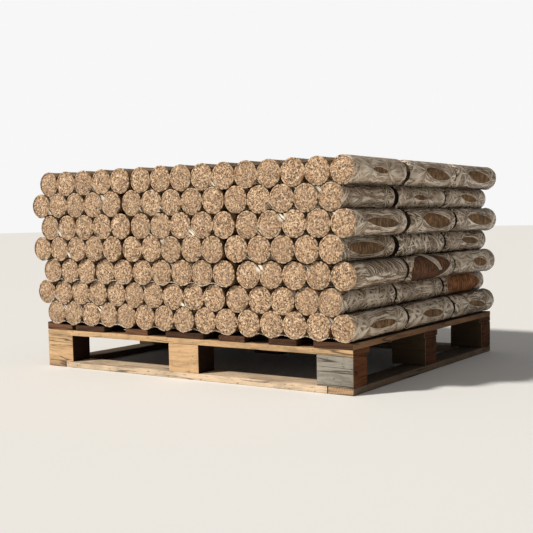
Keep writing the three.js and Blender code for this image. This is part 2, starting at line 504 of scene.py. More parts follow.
def steel_material():
    """Nail heads, dull and starting to rust."""
    paint = Paint("nail_steel")
    rust = paint.noise(paint.place(), 260.0, 3.0, 0.6)
    color = paint.mix(rust.between(0.42, 0.62), (0.30, 0.29, 0.28), (0.20, 0.085, 0.035))
    dull = rust.between(0.4, 0.6, 0.38, 0.8)
    return paint.finish(color, dull, (rust, 0.0006, 0.6), Metallic=rust.between(0.42, 0.62, 0.9, 0.1))


def material(name, make, *values):
    """Each material is made once and then shared."""
    return bpy.data.materials.get(name) or make(*values)


# Modelling helpers


def adjust(thing, **values):
    for key, value in values.items():
        setattr(thing, key, value)


def rise(values, start, run):
    """Goes from 0 to 1 over the run that begins at start."""
    return np.clip((values - start) / run, 0, 1)


def fall(values, run):
    """Goes from 1 to 0 over the run that begins at 0."""
    return np.clip(1 - values / run, 0, 1)


def deselect_all():
    if bpy.context.mode != "OBJECT":
        object_mode()
    bpy.ops.object.select_all(action="DESELECT")


def object_mode():
    bpy.ops.object.mode_set(mode="OBJECT")


def edit(piece, kind, parts, chosen):
    """Opens the piece in edit mode with only the chosen faces or edges selected."""
    bpy.ops.object.mode_set(mode="EDIT")
    bpy.ops.mesh.select_mode(type=kind)
    bpy.ops.mesh.select_all(action="DESELECT")
    object_mode()
    for part in getattr(piece.data, parts):
        part.select = bool(chosen(part))
    bpy.ops.object.mode_set(mode="EDIT")


def edit_faces(piece, chosen):
    edit(piece, "FACE", "polygons", chosen)


def edit_edges(piece, chosen):
    """Chosen is asked for the two ends of every edge."""
    points = piece.data.vertices
    edit(piece, "EDGE", "edges", lambda edge: chosen(*(points[i].co for i in edge.vertices)))


def points_of(mesh):
    flat = np.empty(len(mesh.vertices) * 3)
    mesh.vertices.foreach_get("co", flat)
    return flat.reshape(-1, 3)


def set_points(mesh, points):
    mesh.vertices.foreach_set("co", np.asarray(points, dtype=float).ravel())
    mesh.update()


def set_attribute(mesh, name, values):
    """Stores one number for each point, or the same number for them all."""
    found = mesh.attributes.get(name) or mesh.attributes.new(name, "FLOAT", "POINT")
    numbers = np.broadcast_to(np.asarray(values, dtype=np.float32), (len(mesh.vertices),))
    found.data.foreach_set("value", np.ascontiguousarray(numbers))


def set_uv(mesh, per_point):
    """Gives each corner the two numbers of its point."""
    layer = mesh.uv_layers.get("UVMap") or mesh.uv_layers.new(name="UVMap")
    corners = np.empty(len(mesh.loops), dtype=np.int64)
    mesh.loops.foreach_get("vertex_index", corners)
    layer.data.foreach_set("uv", np.asarray(per_point, dtype=np.float32)[corners].ravel())


def add_noise(piece, kind, size, strength, group="", direction="NORMAL"):
    """Moves the surface by a cloud or cell pattern and applies it."""
    texture = bpy.data.textures.new(f"{piece.name}_relief", kind)
    texture.noise_scale = size
    modifier = piece.modifiers.new("relief", "DISPLACE")
    adjust(modifier, texture=texture, texture_coords="LOCAL", strength=strength, mid_level=0.5)
    adjust(modifier, direction=direction, vertex_group=group)
    bpy.ops.object.modifier_apply(modifier="relief")


def copy_of(model, name):
    """A copy with a mesh of its own."""
    piece = bpy.data.objects.new(name, model.data.copy())
    bpy.context.collection.objects.link(piece)
    return piece


def join(pieces, name):
    """Joins the pieces into one object at the origin."""
    deselect_all()
    for piece in pieces:
        piece.select_set(True)
    bpy.context.view_layer.objects.active = pieces[0]
    if len(pieces) > 1:
        bpy.ops.object.join()
    joined = bpy.context.view_layer.objects.active
    bpy.ops.object.transform_apply(location=True, rotation=True, scale=True)
    joined.name = joined.data.name = name
    return joined


def pick(piece):
    """Makes the piece the only one that is selected."""
    deselect_all()
    piece.select_set(True)
    bpy.context.view_layer.objects.active = piece


def smooth(piece, degrees):
    pick(piece)
    bpy.ops.object.shade_smooth_by_angle(angle=math.radians(degrees))


def hold(piece, slot, *nodes):
    """The piece rides on the pallet and stands for its nodes, which it hides. Its slot is not used."""
    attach(piece, ROOT)
    if nodes:
        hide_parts(*nodes)
    return piece


def whim(*numbers):
    """A number from 0 to 1 that is always the same for the same numbers."""
    value = 0.5
    for k, number in enumerate(numbers):
        value += math.sin(number * (12.9898 + k * 3.7) + value * 4.1 + k)
    value *= 43758.5453
    return value - math.floor(value)


# Where the briquettes lie


def rods_of_pack(row, place):
    """The middles of a pack's rods along X."""
    low, _, _, size = box_of(f"pack_row{row}_{place}")
    radius = size.z / 2
    pitch = (size.x - 2 * radius) / (RODS_PER_PACK - 1)
    return [low.x + radius + pitch * k for k in range(RODS_PER_PACK)]


# How far the packs of each row stand from the ones behind them, in mm, from the front.
GAPS = {
    1: (4, 7, 0),
    2: (5, 5, 0),
    3: (11, 2, 0),
    4: (15, 7, 0),
    5: (14, 8, 0),
    6: (15, 2, 0),
    7: (12, 1, 0),
}


class Bundle:
    """One film-wrapped pack: its row, its place along X and its depth in the stack."""

    def __init__(self, row, column, depth):
        self.row = row
        self.column = column
        self.depth = depth
        place = PLACES[column]
        self.node = (f"pack_row{row}_{place}", f"course_row{row}_middle", f"course_row{row}_rear")[depth]
        self.rods = rods_of_pack(row, place)
        low, high, middle, size = box_of(self.node)
        gap = GAPS[row][depth] / 1000
        self.front, self.back, self.height = low.y, high.y - gap, middle.z
        self.length = self.back - self.front
        self.stretch = 1 - gap / size.y
        self.hidden = (depth > 0, depth < 2)
        self.seed = whim(row, column, depth)
        self.number = int(self.seed * 9000)

    def outer(self, side):
        """The middle of the last rod on a side, along X."""
        return self.rods[-1] if side > 0 else self.rods[0]


def bundles():
    """Every pack, grouped by the node that it belongs to."""
    groups = {}
    for row in ROWS:
        for depth in range(3):
            for column in range(3):
                bundle = Bundle(row, column, depth)
                groups.setdefault(bundle.node, []).append(bundle)
    return groups


# Briquettes


# How the ends of a briquette are worn: how round the rim is, and its uneven wear as a share of the
# radius and over a length.
RIM_EASE = 0.0022
RIM_WEAR = 0.022
RIM_RUN = 0.012
# How much thinner an end is that lies inside the stack, and over what length.
HIDDEN_TAPER = 0.15
TAPER_RUN = 0.016
# The widths of the rings of faces on an end face, from the rim inwards.
END_RINGS = (0.003, 0.0055, 0.0065, 0.0065, 0.0065, 0.006)


def rod_uv(mesh, radius):
    """On the end faces the distance from the middle, on the side the way around and along."""
    points = points_of(mesh)
    around = np.arctan2(points[:, 2], points[:, 0]) * radius
    lap = 2 * math.pi * radius
    layer = mesh.uv_layers.get("UVMap") or mesh.uv_layers.new(name="UVMap")
    for face in mesh.polygons:
        middle_turn = math.atan2(face.center.z, face.center.x) * radius
        for corner in face.loop_indices:
            point = mesh.loops[corner].vertex_index
            turn = around[point]
            turn -= round((turn - middle_turn) / lap) * lap
            end = face.material_index == 0
            layer.data[corner].uv = points[point, ::2] if end else (turn, points[point, 1])


def chip_rims(mesh, half):
    """Wears the rims of both ends unevenly, always inwards."""
    points = points_of(mesh)
    turn = np.arctan2(points[:, 2], points[:, 0])
    across, upward = ((side * 3.0 + 9.0) * 1.7 for side in (np.cos(turn), np.sin(turn)))
    worn = 0.5 + 0.5 * value_noise(across, upward, 3)
    near_end = fall(half - np.abs(points[:, 1]), RIM_RUN)
    far_out = np.clip(np.hypot(points[:, 0], points[:, 2]) / settings().briquettes.radius, 0, 1) ** 6
    points[:, ::2] *= (1 - RIM_WEAR * worn * near_end * far_out)[:, None]
    set_points(mesh, points)


def model_rod(name, ringed, ends):
    """A briquette along Y around the origin: ends is how many of its two ends show."""
    look = settings().briquettes
    facets = 24 if ringed else look.facets
    deselect_all()
    bpy.ops.mesh.primitive_cylinder_add(
        vertices=facets,
        radius=look.radius - look.slack,
        depth=look.length,
        rotation=(math.pi / 2, 0, 0),
    )
    rod = bpy.context.active_object
    rod.name = name
    bpy.ops.object.transform_apply(rotation=True)
    half = look.length / 2
    edit_faces(rod, lambda face: abs(face.normal.y) > 0.9)
    bpy.ops.mesh.bevel(offset=RIM_EASE, segments=2, affect="EDGES")
    object_mode()
    shown = [-1, 1][:ends]
    if ringed:
        rings = int(look.length / look.ring_pitch) * 2 - 1
        edit_edges(rod, lambda a, b: abs(a.y - b.y) > half)
        bpy.ops.mesh.subdivide(number_cuts=rings)
        object_mode()
        points = points_of(rod.data)
        turns = (points[:, 1] + half) / look.ring_pitch
        groove = np.cos(turns * 2 * math.pi) * 0.5 + 0.5
        uneven = 0.6 + 0.4 * np.sin(np.floor(turns) * 2.3) + 0.15 * np.sin(turns * 0.7)
        inside = np.abs(points[:, 1]) < half - look.ring_pitch
        inward = 1 - groove * uneven * look.ring_depth / look.radius * inside
        for side in {-1, 1} - set(shown):
            near_end = fall(half - side * points[:, 1], TAPER_RUN)
            inward = inward * (1 - HIDDEN_TAPER * near_end**2)
        points[:, ::2] *= inward[:, None]
        set_points(rod.data, points)
    for side in shown:
        edit_faces(rod, lambda face: face.normal.y * side > 0.9)
        for step in END_RINGS:
            bpy.ops.mesh.inset(thickness=step)
        bpy.ops.mesh.poke()
        object_mode()
    for face in rod.data.polygons:
        broken = any(face.normal.y * side > 0.3 for side in shown)
        face.material_index = 0 if broken else 1
    if shown:
        group = rod.vertex_groups.new(name="broken_end")
        inner = look.radius - look.slack - END_RINGS[0]
        for point in rod.data.vertices:
            if abs(point.co.y) > half - 1e-5 and math.hypot(point.co.x, point.co.z) < inner:
                if (-1 if point.co.y < 0 else 1) in shown:
                    group.add([point.index], 1.0, "REPLACE")
        pick(rod)
        add_noise(rod, "CLOUDS", 0.006, look.end_relief, "broken_end", "Y")
        rod.vertex_groups.clear()
    chip_rims(rod.data, half)
    rod_uv(rod.data, look.radius)
    rod.data.materials.append(material("pressed_chips", chips_material))
    rod.data.materials.append(material("pressed_side", side_material))
    return rod


# The two outer briquettes, by row, depth and column, that are reddish.
REDDISH = {(2, 2, 2), (3, 1, 2)}
# How much the briquettes of a pack differ in where they lie and in how their ends slant.
SLIP = 0.002
OUTER_PLAY = 0.0006
INNER_PLAY = 0.0026
SLANT = 0.03
# How much painted shade darkens a briquette that is hidden in its pack, and the bare one under the torn
# film.
ROD_SHADE = 0.86
TORN_ROD_SHADE = 0.53


def painted_shade_share(bundle, points, outer):
    """How much painted shade each point gets: inside its pack, nested between rows or at an end that is
    hidden.
    """
    top = bundle.row == ROWS[-1]
    shade_share = 0.0 if outer or top else ROD_SHADE
    if outer and (bundle.row, bundle.depth) == TORN and bundle.column == 2:
        shade_share = TORN_ROD_SHADE
    upward = (points[:, 2] - bundle.height) / settings().briquettes.radius
    shade_share = np.maximum(shade_share, rise(-upward if top else np.abs(upward), 0.74, 0.16))
    ways = (points[:, 1] - bundle.front, bundle.back - points[:, 1])
    for hidden, far in zip(bundle.hidden, ways):
        if hidden:
            shade_share = np.maximum(shade_share, np.clip(1.6 - far / 0.008, 0, 1))
        else:
            shade_share = shade_share * np.clip((far - 0.003) / 0.012, 0.25, 1)
    return shade_share


def lay_rod(models, bundle, k):
    """A briquette of a pack: rolled, a little off its place, and not quite square at its ends."""
    number = bundle.row * 97 + bundle.depth * 31 + bundle.column * 5 + k
    outer = (bundle.column, k) in {(0, 0), (2, RODS_PER_PACK - 1)}
    play = OUTER_PLAY if outer or bundle.row == ROWS[-1] else INNER_PLAY
    sizes = {3: SLIP, 5: play, 7: play, 17: SLANT, 19: SLANT}
    slip, drop, aside, *slant = ((whim(number, salt) - 0.5) * sizes[salt] for salt in sizes)
    rod = copy_of(models[(outer, 0 if bundle.depth == 1 else 1)], "rod")
    lean = Matrix.Identity(4)
    lean[1][0], lean[1][2] = slant
    roll = Matrix.Rotation(whim(number, 11) * 2 * math.pi, 4, "Y")
    flip = Matrix.Rotation(math.pi if bundle.depth == 2 else 0.0, 4, "Z")
    fit = Matrix.Scale(bundle.stretch, 4, (0, 1, 0))
    middle = (bundle.front + bundle.back) / 2
    place = Matrix.Translation((bundle.rods[k] + aside, middle + slip, bundle.height + drop))
    rod.data.transform(place @ fit @ lean @ flip @ roll)
    reddish = outer and (bundle.row, bundle.depth, bundle.column) in REDDISH
    set_attribute(rod.data, "tone", whim(number, 13))
    set_attribute(rod.data, "warm", 1.0 if reddish else 0.25 * whim(number, 23))
    # Painted shade inside the packs, where the rows meet and at the hidden ends.
    set_attribute(rod.data, "buried", painted_shade_share(bundle, points_of(rod.data), outer))
    return rod


class PALLET_OT_briquettes(bpy.types.Operator):
    """Model the pressed wood briquettes of every pack"""

    bl_idname = "pallet.briquettes"
    bl_label = "Briquettes"

    def execute(self, context):
        models = {
            (ringed, ends): model_rod(f"rod_{ringed:d}_{ends}", ringed, ends)
            for ringed in (False, True)
            for ends in (0, 1)
        }
        for node, packs in bundles().items():
            rods = [lay_rod(models, bundle, k) for bundle in packs for k in range(RODS_PER_PACK)]
            piece = join(rods, f"briquettes_{node}")
            smooth(piece, 38)
            hold(piece, "briquette", node)
        for model in models.values():
            bpy.data.objects.remove(model)
        return {"FINISHED"}


# Film


@dataclass
class Opening:
    """Where a sleeve of film is left open on a cheek: an oval along the briquette.

    Middle and reach are measured along the briquette from the pack's middle, height is half of the
    oval's height, lean is how far its front tip lies above its middle, and bias moves its widest
    place to the front.
    """

    middle: float = 0.0
    reach: float = 0.0
    height: float = 0.0
    lean: float = 0.0
    bias: float = 0.0

    def share(self, along):
        """The place along the oval, from -1 at its front tip to 1 at its rear tip."""
        return np.clip((along - self.middle) / max(self.reach, 1e-6), -1, 1)

    def half_height(self, along):
        if not self.reach:
            return np.zeros_like(along)
        share = self.share(along)
        share = share + self.bias * (1 - share**2)
        return self.height * np.maximum(0, 1 - np.abs(share) ** 2.2) ** 0.68

    def tilt(self, along):
        return -self.lean * self.share(along) if self.reach else np.zeros_like(along)


# What the photographed side shows, row by row from the floor up and from the front to the back.
RIGHT_OPENINGS = {
    1: ((0.0, 0.080, 0.0120, 0.001), (-0.005, 0.073, 0.0130, 0.004), (0.010, 0.070, 0.0110, 0.008)),
    2: ((), (), (-0.018, 0.143, 0.0400, 0.002)),
    3: ((), (-0.020, 0.140, 0.0520, -0.008, 0.2), (0.030, 0.060, 0.0145, 0.005)),
    4: ((-0.026, 0.108, 0.0185, 0.005), (), (0.020, 0.073, 0.0115, 0.005)),
    5: ((0.0, 0.094, 0.0140, 0.006, -0.15), (0.013, 0.100, 0.0235, 0.009), (0.015, 0.106, 0.0180, 0.009)),
    6: ((), (-0.026, 0.047, 0.0080, 0.002), (0.013, 0.070, 0.0120, 0.007)),
    7: (
        (-0.013, 0.044, 0.0080, 0.003),
        (0.021, 0.086, 0.0180, 0.010, 0.15),
        (0.010, 0.094, 0.0190, 0.008),
    ),
}
# The pack that is torn open and the one whose film carries a painted band of glare, by row and depth.
TORN = (3, 1)
GLARE_PACK = (3, 0)
# How far the film is drawn in at an end of its pack, and over what length.
HIDDEN_END = (0.0062, 0.016)
SHOWN_END = (0.0022, 0.004)
# How far the film has shrunk to a net of folds where it is closed over the briquette.
RIGHT_NETS = {(1, 1): 0.45, (2, 0): 0.5, (2, 1): 0.3, (4, 1): 0.9, (6, 1): 0.5, (6, 2): 0.6}
# How milky the film is there, where it isn't as on the other packs.
RIGHT_VEILS = {
    (1, 0): 0.66,
    (1, 1): 0.55,
    (3, 2): 0.52,
    (5, 0): 0.52,
    (5, 2): 0.5,
    (7, 0): 0.7,
    (7, 1): 0.56,
}
# The welded edge of the film on an end panel: its width, and how white it is along the foot of the
# front packs, by row and column.
SEAM_WIDTH = 0.0038
SEAMS = {(3, 0): 1.0, (3, 1): 1.0, (1, 0): 1.0, (1, 1): 0.9, (1, 2): 0.9, (2, 1): 0.3, (5, 1): 0.3}
# How wide the film dips between two briquettes on an end panel.
DIP_WIDTH = 0.0125
# The size of the faces of the film on top of the load along X and Y, and along X where it is hidden.
COVER_CELL = (0.0067, 0.0075)
HIDDEN_CELL = 0.0134
# How far around its last briquette the top film of a pack runs on into the row, in radians.
LAST_TURN = 1.45
# The strip on the torn pack: its width at the top and how much of it is gone at the bottom.
BAND_WIDTH = 0.060
BAND_TAPER = 0.036


def opening_for(bundle, side):
    """The photographed opening on the right, and a like one of its own on the left."""
    if side > 0:
        return Opening(*RIGHT_OPENINGS[bundle.row][bundle.depth])
    chance, middle, reach, lean = (whim(bundle.row, bundle.depth, salt) for salt in (29, 31, 37, 43))
    if chance < 0.25:
        return Opening()
    height = 0.008 + 0.016 * chance
    return Opening((middle - 0.5) * 0.05, 0.045 + 0.06 * reach, height, (lean - 0.4) * 0.015)


def value_noise(x, y, seed):
    """Smooth noise from -1 to 1 for arrays of places, by mixing random corners."""
    points = np.stack([x, y], 1)
    cell = np.floor(points).astype(np.int64)
    part = points - cell
    part = part * part * (3 - 2 * part)
    total = np.zeros(len(points))
    for dx in (0, 1):
        for dy in (0, 1):
            corner = (cell[:, 0] + dx) * 374761393 + (cell[:, 1] + dy) * 668265263 + seed * 9737333
            corner = (corner ^ (corner >> 13)) * 1274126177
            number = ((corner ^ (corner >> 16)) & 0xFFFF) / 32767.5 - 1
            share = (part[:, 0] if dx else 1 - part[:, 0]) * (part[:, 1] if dy else 1 - part[:, 1])
            total += number * share
    return total


def ridges(x, y, seed):
    """Sharp folds: high where the noise crosses zero."""
    return 1 - np.minimum(1, np.abs(value_noise(x, y, seed)) * 3)


def flat_sheet(name, columns, rows):
    """A flat sheet of film from 0 to 1 both ways, to be laid over the briquettes."""
    deselect_all()
    bpy.ops.mesh.primitive_grid_add(
        x_subdivisions=columns, y_subdivisions=rows, size=1, location=(0.5, 0.5, 0)
    )
    sheet = bpy.context.active_object
    sheet.name = name
    bpy.ops.object.transform_apply(location=True)
    return sheet, points_of(sheet.data)[:, 0], points_of(sheet.data)[:, 1]


def dress_sheet(sheet, bundle, points, uv, **marks):
    """Sets a sheet's points and the numbers that its material reads."""
    set_points(sheet.data, np.stack(points, 1))
    set_uv(sheet.data, np.stack(uv, 1))
    set_attribute(sheet.data, "seed", bundle.seed)
    for key in FILM_MARKS:
        set_attribute(sheet.data, key, marks.get(key, 0.0))
    return sheet


def lay_cheek(bundle, side, upper):
    """Half of the film around the outer briquette's side: over it, or under it."""
    look = settings().film
    rods = settings().briquettes
    wood = rods.radius - rods.slack
    length = bundle.length
    quarter = rods.radius * math.pi / 2
    columns = round(quarter / look.cell)
    sheet, across, along = flat_sheet("cheek", columns, round(length / look.cell))
    opening = opening_for(bundle, side)
    here = (bundle.row, bundle.depth)
    photographed = side > 0
    seed = bundle.number + (7 if photographed else 0)
    up = 1 if upper else -1
    way = (along - 0.5) * length
    flat_way = across * quarter
    gape = opening.half_height(way)
    fade = 2 - rise(gape / quarter, 0.35, 0.2)
    arc = up * (flat_way + gape * (1 - across) ** fade) + opening.tilt(way) * (1 - across) ** 2
    arc = np.clip(arc, -quarter, quarter)
    turn = arc / rods.radius
    if opening.reach:
        tips = [opening.middle - opening.reach, opening.middle + opening.reach]
    else:
        tips = [-0.08 + 0.05 * bundle.seed, 0.05 + 0.05 * bundle.seed]
    reach = [np.hypot(way - tip, (arc - opening.tilt(way)) * 1.3) for tip in tips]
    nearer = np.minimum(*reach)
    first = reach[0] < reach[1]
    beyond = np.where(first, tips[0] - way, way - tips[1])
    fan = np.arctan2(arc - opening.tilt(way), beyond)
    pull = np.exp(-nearer / 0.075) * np.clip(0.55 + beyond / 0.03, 0.15, 1)
    net = np.full_like(way, RIGHT_NETS.get(here, 0.15) if photographed else 0.6 * bundle.seed)
    at_end = np.minimum(along, 1 - along) * length
    net = np.maximum(net, 0.85 * np.exp(-((at_end / 0.060) ** 2)))
    milk = np.zeros_like(way)
    veil = (RIGHT_VEILS.get(here, 0.45) if photographed else 0.42) * np.ones_like(way)
    # On that pack a painted band of glare runs white along the briquette, just under its middle.
    if photographed and here == GLARE_PACK:
        fan = way * 36 + arc * 22
        fan = fan + 0.30 * value_noise(way * 42, arc * 75, seed + 5)
        pull = 0.9 * rise(arc, -0.008, 0.012) * rise(way, -0.115, 0.04)
        net = net * 0.3
        veil = 0.28
        band = value_noise(way * 28, arc * 0, seed)
        milk = 0.42 * np.exp(-(((arc + 0.002 + 0.008 * band) / 0.0055) ** 2))
        milk *= rise(way, -0.105, 0.05) * rise(-way, -0.085, 0.06)
    fold_long = ridges(flat_way * 115 * up, way * 8, seed)
    fold_fan = ridges(fan * 4.2, nearer * 16, seed + 1)
    buckle = value_noise(arc * 55, way * 30, seed + 2)
    lift = look.wrinkle * (fold_long * 0.55 * (1 - pull) + fold_fan * pull * 1.0 + buckle * 0.22 + 0.2)
    lip = np.exp(-flat_way / 0.0028) * (gape > 0.0008)
    uneven = 0.55 + 0.45 * value_noise(way * 45, flat_way * 0 + up, seed + 3)
    lift += lip * 0.0009
    reach_out = wood + look.gap + lift * np.clip(at_end / 0.005, 0.15, 1)
    reach_out = np.minimum(reach_out, rods.radius)
    for hidden, far in zip(bundle.hidden, (along * length, (1 - along) * length)):
        drop, run = HIDDEN_END if hidden else SHOWN_END
        reach_out -= drop * fall(far, run) ** 2
    # Painted shade where the rows meet: the film there turns clear and its creases fade, so that the
    # darkened briquettes beneath show.
    shade_between_rows = rise(np.abs(turn), np.where(turn < 0, 0.80, 0.98), 0.45)
    nested = (turn < 0) | (bundle.row < ROWS[-1])
    x = bundle.outer(side) + side * reach_out * np.cos(turn)
    return dress_sheet(
        sheet,
        bundle,
        (x, bundle.front + along * length, bundle.height + reach_out * np.sin(turn)),
        (flat_way * up, way),
        veil=(veil + 0.10 * buckle) * np.where(nested, 1 - 0.8 * shade_between_rows, 1),
        mark=0.75 * np.where(nested, 1 - 0.65 * shade_between_rows, 1),
        fan=fan,
        pull=pull,
        milk=milk + lip * uneven * 0.75,
        net=net,
    )


def cover_height(x, rods, radius, valley):
    """How high the film lies over the pack: on the briquettes, and slack between them."""
    away = np.min(np.abs(x[:, None] - np.asarray(rods)[None, :]), axis=1)
    on_rod = np.sqrt(np.maximum(radius**2 - away**2, 0))
    pitch = rods[1] - rods[0]
    slack = radius - valley * np.sin(np.clip(away / (pitch / 2), 0, 1) * math.pi / 2) ** 1.5
    return np.maximum(on_rod, slack)


def lay_cover(bundle, upper, fine):
    """The film over or under the pack, from its first to its last briquette."""
    look = settings().film
    rods = settings().briquettes
    wood = rods.radius - rods.slack
    length = bundle.length
    span = bundle.rods[-1] - bundle.rods[0]
    radius = wood + look.gap
    past = [radius * LAST_TURN if fine and bundle.column != column else 0.0 for column in (0, 2)]
    columns = round((span + sum(past)) / (COVER_CELL[0] if fine else HIDDEN_CELL))
    lines = round(length / COVER_CELL[1]) if fine else 6
    sheet, across, along = flat_sheet("cover", columns, lines)
    seed = bundle.number + 11
    arc = across * (span + sum(past)) - past[0]
    x = bundle.rods[0] + np.clip(arc, 0, span)
    way = (along - 0.5) * length
    height = cover_height(x, bundle.rods, radius, look.valley)
    turn = (arc - np.clip(arc, 0, span)) / radius
    x = x + radius * np.sin(turn)
    height = np.where(turn == 0, height, radius * np.cos(turn))
    at_end = np.minimum(along, 1 - along) * length
    if fine:
        fold = ridges(x * 24, way * 40, seed) * 0.5 + ridges(x * 70, way * 11, seed + 1) * 0.5
        height = height + look.wrinkle * fold * rise(at_end, 0, 0.02) * np.cos(turn)
        height = np.minimum(height, rods.radius)
    height -= SHOWN_END[0] * fall(at_end, SHOWN_END[1]) ** 2
    height *= 1 if upper else -1
    near_end = np.exp(-at_end / 0.02)
    return dress_sheet(
        sheet,
        bundle,
        (x, bundle.front + along * length, bundle.height + height),
        (arc, way),
        veil=0.20 if fine else 0.03,
        mark=0.32 if fine else 0.05,
        fan=way * 20,
        pull=near_end * 0.4,
        net=0.5 * bundle.seed if fine else 0.0,
    )


def lay_face(bundle, back):
    """The film drawn flat across the ends of the briquettes and into the gaps between them."""
    look = settings().film
    rods = settings().briquettes
    shown = (bundle.depth == 0 and not back) or (bundle.depth == 2 and back)
    radius = rods.radius - rods.slack + look.gap
    left = bundle.rods[0] - (radius if bundle.column == 0 else radius * 0.75)
    right = bundle.rods[-1] + (radius if bundle.column == 2 else radius * 0.75)
    sheet, across, up = flat_sheet("face", 120 if shown else 24, 20 if shown else 2)
    seed = bundle.number + (17 if back else 13)
    x = left + across * (right - left)
    inner = np.clip(x, bundle.rods[0], bundle.rods[-1])
    height = cover_height(inner, bundle.rods, radius, look.valley * 0.7)
    beyond = np.abs(x - inner)
    height = np.where(beyond > 0, np.sqrt(np.maximum(radius**2 - beyond**2, 0)), height)
    height = np.maximum(height - SHOWN_END[0], 0.0005)
    z = (up * 2 - 1) * height
    pitch = bundle.rods[1] - bundle.rods[0]
    gap = np.clip(np.floor((x - bundle.rods[0]) / pitch), 0, RODS_PER_PACK - 2)
    from_gap = x - (bundle.rods[0] + (gap + 0.5) * pitch)
    valley = np.exp(-((from_gap / DIP_WIDTH) ** 2)) * (beyond < 0.001)
    corner = valley * rise(np.abs(z), 0.010, 0.012)
    half = np.where(z > 0, 1.0, 2.0)
    # Painted glints: on a few gaps the film is painted with white streaks, as highlights on its taut
    # folds.
    luck = np.array([whim(a, b, bundle.row, bundle.seed) for a, b in zip(gap, half)])
    spot = np.exp(-(((from_gap - 0.004) / 0.014) ** 2) - ((np.abs(z) - 0.022) / 0.014) ** 2)
    glint = spot * rise(luck, 0.74, 0.16) * (beyond < 0.001)
    fold = ridges(x * 40 + z * 30, z * 34 - x * 18, seed)
    inward = 0.0012 + 0.0045 * corner - 0.0010 * fold * valley
    edge = rise(height, np.abs(z), SEAM_WIDTH)
    y = bundle.back - inward * 0.6 if back else bundle.front + inward * 0.6
    below = (1 - edge) * (z < 0) * SEAMS.get((bundle.row, bundle.column), 0.25)
    above = (1 - edge) * (z > 0) * 0.12
    return dress_sheet(
        sheet,
        bundle,
        (x, y, bundle.height + z),
        ((x + z) * 0.7, (x - z) * 0.7),
        veil=0.03 * (1 - 0.7 * corner) + 0.05 * glint if shown else 0.01,
        mark=0.03 * (1 - corner) + 1.2 * glint if shown else 0.0,
        milk=below + above,
    )


def lay_band(bundle, side):
    """The strip of film that still crosses the torn pack."""
    look = settings().film
    rods = settings().briquettes
    sheet, across, along = flat_sheet("band", 5, 24)
    width = BAND_WIDTH - BAND_TAPER * along
    turn = math.radians(82) - along * math.radians(96)
    way = -0.046 + along * 0.088 + (across - 0.5) * width
    twist = np.sin(along * 9 + across * 3) * 0.0010
    reach_out = rods.radius + look.gap + 0.0012 + twist
    x = bundle.outer(side) + side * reach_out * np.cos(turn)
    middle = (bundle.front + bundle.back) / 2
    return dress_sheet(
        sheet,
        bundle,
        (x, middle + way, bundle.height + reach_out * np.sin(turn)),
        (turn * rods.radius, way),
        veil=0.75,
        mark=0.8,
        fan=across * 3,
        pull=0.8,
        milk=0.35 + 0.5 * np.abs(across * 2 - 1) ** 3,
    )


def wrap(bundle):
    """All the film of one pack."""
    fine = bundle.row == ROWS[-1]
    sheets = [lay_cover(bundle, True, fine), lay_cover(bundle, False, False)]
    sheets += [lay_face(bundle, False), lay_face(bundle, True)]
    for side, column in ((-1, 0), (1, 2)):
        if bundle.column == column:
            sheets += [lay_cheek(bundle, side, True), lay_cheek(bundle, side, False)]
    if (bundle.row, bundle.depth) == TORN and bundle.column == 2:
        sheets.append(lay_band(bundle, 1))
    return sheets


class PALLET_OT_film(bpy.types.Operator):
    """Wrap every pack of briquettes in shrunk clear film"""

    bl_idname = "pallet.film"
    bl_label = "Shrink film"

    def execute(self, context):
        clear = material("shrink_film", film_material)
        for node, packs in bundles().items():
            sheets = [sheet for bundle in packs for sheet in wrap(bundle)]
            film = join(sheets, f"film_{node}")
            film.data.materials.clear()
            film.data.materials.append(clear)
            bpy.ops.object.mode_set(mode="EDIT")
            bpy.ops.mesh.select_all(action="SELECT")
            bpy.ops.mesh.remove_doubles(threshold=0.00015)
            bpy.ops.mesh.normals_make_consistent(inside=False)
            object_mode()
            smooth(film, 70)
            hold(film, "film")
        return {"FINISHED"}


# Pallet timber


# How dirty the outer faces are, and how much painted shade they get; what isn't listed lies under the
# load and gets painted shade.
GRIME_AND_SHADE = {
    **{f"block_front_{place}": 0.0 for place in PLACES},
    "stringer_front": 0.05,
    "bottom_board_front": 0.12,
    "bottom_board_left": 0.2,
    "bottom_board_right": 0.25,
    # For the deck boards these numbers are mostly painted shade: the load's shadow on their ends.
    **{f"deck_board_{k}": dirt for k, dirt in enumerate((0.05, 0.8, 0.1, 0.9, 0.5, 0.9, 0.2), 1)},
}
# Painted shade on the outer faces of the pieces under the load.
HIDDEN_SHADE = 0.4
# How much painted shade the faces get that don't lie on the pallet's outline.
INNER_SHADE = {
    "bottom_board_front": 0.12,
    "bottom_board_rear": 0.75,
    "bottom_board_left": 0.75,
    "bottom_board_right": 0.75,
    "stringer_front": 0.45,
}
# The painted shade on the inner faces of every other piece.
DEEPEST_SHADE = 1.25
# The kind of wood and the slot of each board or block, by how its name starts.
WOODS = (
    # deck_board_7 gets ends painted darker still: painted shade.
    ("deck_board_7", "stained", "deck"),
    ("deck", "deck", "deck"),
    ("stringer", "knotty", "pine"),
    ("block_front_right", "weathered", "weathered_block"),
    ("block", "pine", "pine"),
    ("bottom_board_left", "side", "pine"),
    ("bottom_board_right", "side", "pine"),
    ("bottom", "pale", "pine"),
)
# The pallet's left front corner and its right back corner.
PALLET_LOW = np.array(box_of("bottom_board_left")[0])[:2]
PALLET_HIGH = np.array(box_of("bottom_board_right")[1])[:2]


